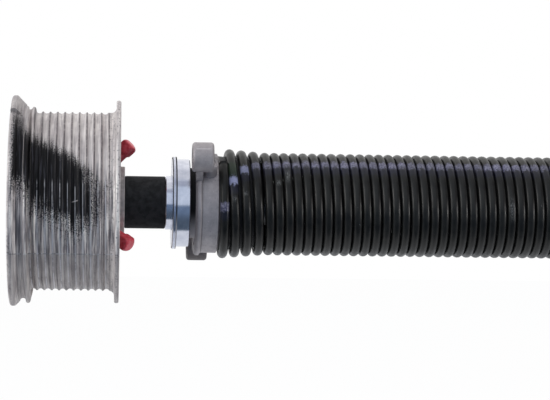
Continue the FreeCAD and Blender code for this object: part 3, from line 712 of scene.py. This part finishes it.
# The stripe along the spring, in turns of the wire: where it lies far from the end, how much further
# on it starts, over how many turns that dies away, its half width and how ragged it is. Then the
# painted shadow beside it, and the turns between which the paint is fresh.
STRIPE_TURN = 0.104
STRIPE_START = 0.19
STRIPE_SETTLE = 1.25
STRIPE_HALF = 0.0138
STRIPE_SOFT = 0.005
STRIPE_RAGGED = 0.006
SHADE_OFF = 0.028
SHADE_HALF = 0.014
SHADE_SOFT = 0.008
FRESH_FROM = (0.7, 0.9)
FRESH_TO = (1.5, 3.6)

# The stripe's strength differs from coil to coil: how far apart the coils lie in the noise.
COIL_NOISE_STEP = 7.3

# How far a place on the wire faces away from the shaft, 1 at most: where dust gives out, where paint
# takes and where scuffs lie.
DUST_FACING = (0.0, 0.5)
PAINT_FACING = (0.15, 0.6)
SCUFF_FACING = (0.8, 0.97)

# White scuffs and a green smear along the wire: the middle and the half length, in turns.
SCUFFS = ((1.235, 0.007), (2.218, 0.006), (5.18, 0.008), (6.156, 0.02), (29.255, 0.03))
GREEN_SMEAR = (1.138, 0.026)

# Colours on the spring; the dark blue beside the stripe is a painted shadow.
WIRE_DARK = srgb(17, 17, 16)
WIRE_LIGHT = srgb(27, 27, 25)
WIRE_DUST = srgb(44, 44, 43)
STRIPE_SHADE = srgb(29, 30, 48)
STRIPE_WORN = srgb(80, 77, 104)
STRIPE_CHALK = srgb(140, 138, 157)
STRIPE_FRESH = srgb(160, 164, 198)
GREEN = srgb(44, 62, 44)
SCUFF = srgb(158, 158, 156)


def add_stripe(finish, wire, turns, facing):
    """A painted stripe that the end coils have carried round, with a painted shadow beside it."""
    drift = finish.compute("POWER", math.e, finish.compute("DIVIDE", turns, -STRIPE_SETTLE))
    centre = finish.compute("MULTIPLY_ADD", drift, STRIPE_START, STRIPE_TURN)
    beyond = finish.compute("SUBTRACT", turns, centre)
    past = finish.compute("FRACT", finish.compute("ADD", beyond, 0.5))
    ragged = finish.patches(
        scale=700.0, detail=3.0, rough=0.6, low=0.3, high=0.7,
        at_low=-STRIPE_RAGGED, at_high=STRIPE_RAGGED,
    )
    off = finish.compute("ADD", finish.compute("SUBTRACT", past, 0.5), ragged)
    coil = finish.vector(finish.times(finish.compute("FLOOR", beyond), COIL_NOISE_STEP), 0.5, 0.5)
    jitter = finish.noise(scale=1.0, detail=0.0, spot=coil)
    fresh = finish.times(finish.stretch(turns, *FRESH_FROM), finish.fade(turns, *FRESH_TO))
    amount = finish.larger(finish.stretch(jitter, 0.3, 0.7, at_low=0.55, at_high=1.0), fresh)
    # Painted shadow beside the stripe.
    shade_band = finish.times(finish.band(off, SHADE_OFF, SHADE_HALF, SHADE_SOFT), facing, amount)
    wire = finish.blend(shade_band, wire, STRIPE_SHADE, most=0.7)
    chalk = finish.patches(scale=1100.0, detail=2.0, rough=0.6, low=0.4, high=0.62)
    lavender = finish.blend(chalk, STRIPE_WORN, STRIPE_CHALK)
    lavender = finish.blend(fresh, lavender, STRIPE_FRESH, most=0.8)
    stripe = finish.times(finish.band(off, 0.0, STRIPE_HALF, STRIPE_SOFT), facing, amount)
    return finish.blend(stripe, wire, lavender, most=0.9)


def add_scuffs(finish, wire, turns, outward):
    """Pale scuffs on the coils' outside: small ones anywhere and longer ones at set places."""
    scuffs = finish.patches(scale=380.0, detail=4.0, rough=0.7, low=0.7, high=0.76)
    scratches = finish.patches(scale=1900.0, detail=2.0, rough=0.6, low=0.48, high=0.62)
    for middle, half in SCUFFS:
        rub = finish.times(finish.band(turns, middle, half, half / 2), scratches)
        scuffs = finish.larger(scuffs, rub)
    scuffs = finish.times(scuffs, finish.stretch(outward, *SCUFF_FACING))
    return finish.blend(scuffs, wire, SCUFF, most=0.5)


def spring_finish():
    """Oil-tempered wire, dusty between the coils, with a stripe, a green smear and scuffs."""
    finish = Finish("spring_steel")
    turns = finish.stored("turns")
    outward = finish.stored("outward")
    facing = finish.stretch(outward, *PAINT_FACING)
    cloud = finish.patches(scale=230.0, detail=5.0, rough=0.65, low=0.3, high=0.7)
    wire = finish.blend(cloud, WIRE_DARK, WIRE_LIGHT)
    dust = finish.stretch(outward, *DUST_FACING, at_low=0.7, at_high=0.0)
    wire = finish.blend(dust, wire, WIRE_DUST)
    wire = add_stripe(finish, wire, turns, facing)
    middle, half = GREEN_SMEAR
    green = finish.times(finish.band(turns, middle, half, half / 2), facing)
    wire = finish.blend(green, wire, GREEN, most=0.5)
    finish.set(
        Base_Color=add_scuffs(finish, wire, turns, outward),
        Roughness=finish.stretch(cloud, 0.0, 1.0, at_low=0.3, at_high=0.43),
        Specular_IOR_Level=0.35,
        Specular_Tint=(1.0, 0.97, 0.93, 1.0),
    )
    finish.bump(finish.noise(scale=800.0, detail=3.0), depth=0.03 * MM)
    return finish.material


# Spring, in millimetres and degrees, as in the part's source; then the grain of its mesh.
WIRE_R = 2.8
COIL_MAIN_R = 27.8
COIL_END_R = 30.15
COIL_PITCH = 5.71
COIL_END_PITCH = 7.0
COIL_FIRST_RISE = 1.2
COIL_START_X = 18.8
COIL_HALVES = 80
COIL_END_HALVES = 8
COIL_END_ANGLE = 40.0
COIL_STEPS = 30
WIRE_SIDES = 18


def coil_spots():
    """X and radius of the spring's wire above and below the shaft in turn, in millimetres."""
    count = COIL_HALVES + 2 * COIL_END_HALVES
    x = COIL_START_X
    spots = []
    for k in range(count + 1):
        share = max(0.0, 1 - min(k, count - k) / COIL_END_HALVES)
        spots.append((x, COIL_MAIN_R + share * (COIL_END_R - COIL_MAIN_R)))
        if k in (0, count - 1):
            x += COIL_FIRST_RISE
        elif k < COIL_END_HALVES or k >= count - COIL_END_HALVES:
            x += COIL_END_PITCH / 2
        else:
            x += COIL_PITCH / 2
    return spots


def wire_rings(spots):
    """Corners of the wire ring by ring, with each one's turns and how much it faces outward.

    Every half coil is a tilted half circle, as in the solid.
    """
    halves = len(spots) - 1
    corners = []
    turns = []
    outward = []
    for k in range(halves):
        sign = 1 if k % 2 == 0 else -1
        above = Vector((spots[k][0], 0, sign * spots[k][1]))
        below = Vector((spots[k + 1][0], 0, -sign * spots[k + 1][1]))
        middle = (above + below) / 2
        out = (above - middle).normalized()
        side = Vector((0, -sign, 0))
        reach = (above - middle).length
        across = out.cross(side)
        start = COIL_END_ANGLE if k == 0 else 0.0
        stop = 180 - COIL_END_ANGLE if k == halves - 1 else 180.0
        for i in range(COIL_STEPS + (k == halves - 1)):
            angle = math.radians(start + (stop - start) * i / COIL_STEPS)
            away = out * math.cos(angle) + side * math.sin(angle)
            for j in range(WIRE_SIDES):
                roll = 2 * math.pi * j / WIRE_SIDES
                skin = away * math.cos(roll) + across * math.sin(roll)
                corners.append((middle + away * reach + skin * WIRE_R) * MM)
                turns.append(k / 2 + angle / (2 * math.pi))
                outward.append(math.cos(roll))
    return corners, turns, outward


def wire_faces(ring_count):
    """Faces between the wire's rings, and then its two flat ends."""
    faces = []
    for i in range(ring_count - 1):
        for j in range(WIRE_SIDES):
            after = (j + 1) % WIRE_SIDES
            near, far = i * WIRE_SIDES, (i + 1) * WIRE_SIDES
            faces.append((near + j, near + after, far + after, far + j))
    faces.append(tuple(range(WIRE_SIDES)))
    faces.append(tuple(range((ring_count - 1) * WIRE_SIDES, ring_count * WIRE_SIDES))[::-1])
    return faces


def make_spring():
    """Smooth wire on the solid's own centre line."""
    spots = coil_spots()
    corners, turns, outward = wire_rings(spots)
    faces = wire_faces(len(corners) // WIRE_SIDES)
    mesh = bpy.data.meshes.new("spring_wire")
    mesh.from_pydata(corners, [], faces)
    mesh.polygons.foreach_set("use_smooth", [True] * (len(faces) - 2) + [False, False])
    for name, numbers in (("turns", turns), ("outward", outward)):
        mesh.attributes.new(name, "FLOAT", "POINT").data.foreach_set("value", numbers)
    spring = place("spring_wire", mesh)
    mesh.materials.append(spring_finish())
    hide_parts("torsion_spring")
    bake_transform(spring)


# The coat of paint on the set screws: the grain of its mesh, and how much and how often it is smoothed.
PAINT_GRAIN = 0.3 * MM
PAINT_SMOOTHING = 0.5
PAINT_PASSES = 32


def dip(node, name, paint):
    """Set screws under a thick coat of paint: the solids' own form with rounded edges."""
    piece = place(name, NODES[node].data.copy())
    coat = piece.modifiers.new("coat", "REMESH")
    coat.mode = "VOXEL"
    coat.voxel_size = PAINT_GRAIN
    coat.use_smooth_shade = True
    soften = piece.modifiers.new("soften", "SMOOTH")
    soften.factor = PAINT_SMOOTHING
    soften.iterations = PAINT_PASSES
    ready = piece.evaluated_get(bpy.context.evaluated_depsgraph_get())
    mesh = bpy.data.meshes.new_from_object(ready)
    piece.modifiers.clear()
    piece.data = mesh
    mesh.materials.clear()
    mesh.materials.append(paint)
    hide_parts(node)
    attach(piece, "shaft_line")


# Floor, in metres, and how much of it is seen as plain white, straight and in bright metal.
FLOOR_HALF = 2.0
FLOOR_FRONT = -0.06
FLOOR_BACK = 3.0
FLOOR_LOW = -0.2
FLOOR_WHITE = 0.97
FLOOR_MIRRORED = 0.3
FLOOR_PALE = srgb(238, 238, 238)


def make_floor():
    """Pale floor well below the part, white to the eye but for the part's shadow."""
    mesh = bpy.data.meshes.new("floor")
    corners = [
        (-FLOOR_HALF, FLOOR_FRONT, FLOOR_LOW),
        (FLOOR_HALF, FLOOR_FRONT, FLOOR_LOW),
        (FLOOR_HALF, FLOOR_BACK, FLOOR_LOW),
        (-FLOOR_HALF, FLOOR_BACK, FLOOR_LOW),
    ]
    mesh.from_pydata(corners, [], [(0, 1, 2, 3)])
    floor = place("floor", mesh)
    finish = Finish("floor")
    finish.set(Base_Color=FLOOR_PALE, Roughness=0.9)
    path = finish.add("ShaderNodeLightPath")
    seen = finish.larger(path.outputs["Is Camera Ray"], path.outputs["Is Transmission Ray"])
    seen = finish.larger(seen, finish.times(path.outputs["Is Glossy Ray"], FLOOR_MIRRORED))
    glow = finish.add("ShaderNodeEmission")
    cover = finish.add("ShaderNodeMixShader")
    finish.feed(cover.inputs[0], finish.times(seen, FLOOR_WHITE))
    finish.feed(cover.inputs[1], finish.shader.outputs[0])
    finish.feed(cover.inputs[2], glow.outputs[0])
    output = finish.tree.nodes["Material Output"]
    finish.feed(output.inputs["Surface"], cover.outputs[0])
    mesh.materials.append(finish.material)


# The studio's brightness in each direction, as the bright metal of the bearing shows it.
FRONT_GLOW = (0.66, 0.73, 0.83, 1)
SKY_GLOW = (0.74, 0.75, 0.78, 1)
LINTEL_GLOW = (0.45, 0.48, 0.56, 1)
RIGHT_GLOW = (0.2, 0.2, 0.22, 1)
LOW_GLOW = (0.15, 0.21, 0.31, 1)
DEEP_GLOW = (0.08, 0.11, 0.15, 1)
WHITE = (1, 1, 1, 1)

# Where each of them begins and ends, as a direction's share along X, Y or Z.
AHEAD_Y = (-0.3, -0.1)
BEHIND_Y = (0.0, 0.3)
RIGHT_X = (0.25, 0.85)
SKY_Z = (0.8, 0.95)
LINTEL_FOOT_Z = (0.66, 0.73)
LINTEL_TOP_Z = (0.84, 0.91)
LOW_Z = (-0.16, -0.04)
DEEP_Z = (-0.8, -0.3)


def make_world():
    """White to the eye; in front of the part the room is dim below the shaft, as the metal shows."""
    world = bpy.data.worlds.new("studio")
    bpy.context.scene.world = world
    world.use_nodes = True
    world.node_tree.nodes.clear()
    studio = Nodes(world.node_tree)
    across, depth, height = studio.split(studio.add("ShaderNodeTexCoord").outputs["Generated"])
    ahead = studio.fade(depth, *AHEAD_Y)
    room = studio.blend(studio.stretch(height, *SKY_Z), FRONT_GLOW, SKY_GLOW)
    lintel = studio.times(studio.stretch(height, *LINTEL_FOOT_Z), studio.fade(height, *LINTEL_TOP_Z))
    room = studio.blend(studio.times(ahead, lintel), room, LINTEL_GLOW)
    room = studio.blend(studio.stretch(across, *RIGHT_X), room, RIGHT_GLOW)
    below = studio.blend(studio.stretch(height, *DEEP_Z), DEEP_GLOW, LOW_GLOW)
    room = studio.blend(studio.times(ahead, studio.fade(height, *LOW_Z)), room, below)
    path = studio.add("ShaderNodeLightPath")
    seen = studio.larger(path.outputs["Is Camera Ray"], path.outputs["Is Transmission Ray"])
    mirrored = studio.times(path.outputs["Is Glossy Ray"], studio.stretch(depth, *BEHIND_Y))
    glow = studio.add("ShaderNodeBackground")
    studio.feed(glow.inputs["Color"], studio.blend(studio.larger(seen, mirrored), room, WHITE))
    output = studio.add("ShaderNodeOutputWorld")
    studio.feed(output.inputs["Surface"], glow.outputs[0])


def softbox(name, spot, aim, width, height, power, mirrored=True):
    """A soft lamp; one that isn't mirrored stays out of reflections."""
    data = bpy.data.lights.new(name, "AREA")
    data.shape = "RECTANGLE"
    data.size = width
    data.size_y = height
    data.energy = power
    lamp = place(name, data)
    lamp.location = spot
    lamp.visible_glossy = mirrored
    lamp.rotation_euler = (Vector(aim) - Vector(spot)).to_track_quat("-Z", "Y").to_euler()


# Lighter and darker steel of the bearing, its balls and the shaft.
ZINC = (srgb(226, 228, 238), srgb(206, 209, 222))
BALL_STEEL = (srgb(215, 215, 215), srgb(200, 200, 200))
SHAFT_STEEL = (srgb(190, 190, 190), srgb(165, 165, 165))

casting = cone_finish()
red_paint = red_finish()
finishes = {
    "cable_drum": drum_finish(),
    "spacer_sleeve": sleeve_finish(),
    "bearing_inner_race": steel_finish("zinc_steel", *ZINC, rough=0.14),
    "bearing_balls": steel_finish("ball_steel", *BALL_STEEL, rough=0.1),
    "bearing_outer_cup": steel_finish("zinc_steel_cup", *ZINC, rough=0.14, dark_bands=CUP_DARK_BANDS),
    "bearing_cover": steel_finish("zinc_steel_cover", *ZINC, rough=0.24, dark_bands=COVER_DARK_BANDS),
    "stationary_cone": casting,
    "winding_cone": casting,
    "shaft": steel_finish("shaft_steel", *SHAFT_STEEL, rough=0.3),
}
for node, material in finishes.items():
    NODES[node].data.materials.clear()
    NODES[node].data.materials.append(material)
make_spring()
dip("drum_set_screws", "drum_screws_painted", red_paint)
dip("winding_cone_set_screws", "winding_screws_painted", red_paint)

make_camera()
make_floor()
make_world()
softbox(
    "top_light", spot=(0.1, -0.2, 1.3), aim=(0.1, 0, 0), width=2.4, height=1.6, power=8.0, mirrored=False,
)
softbox("left_light", spot=(-1.2, -0.45, 0.2), aim=(-0.07, 0, 0), width=0.6, height=0.9, power=7.0)
softbox("right_light", spot=(1.5, -0.45, -0.1), aim=(0.15, 0, 0), width=0.3, height=0.3, power=4.6)

bpy.context.scene.view_settings.view_transform = "Standard"
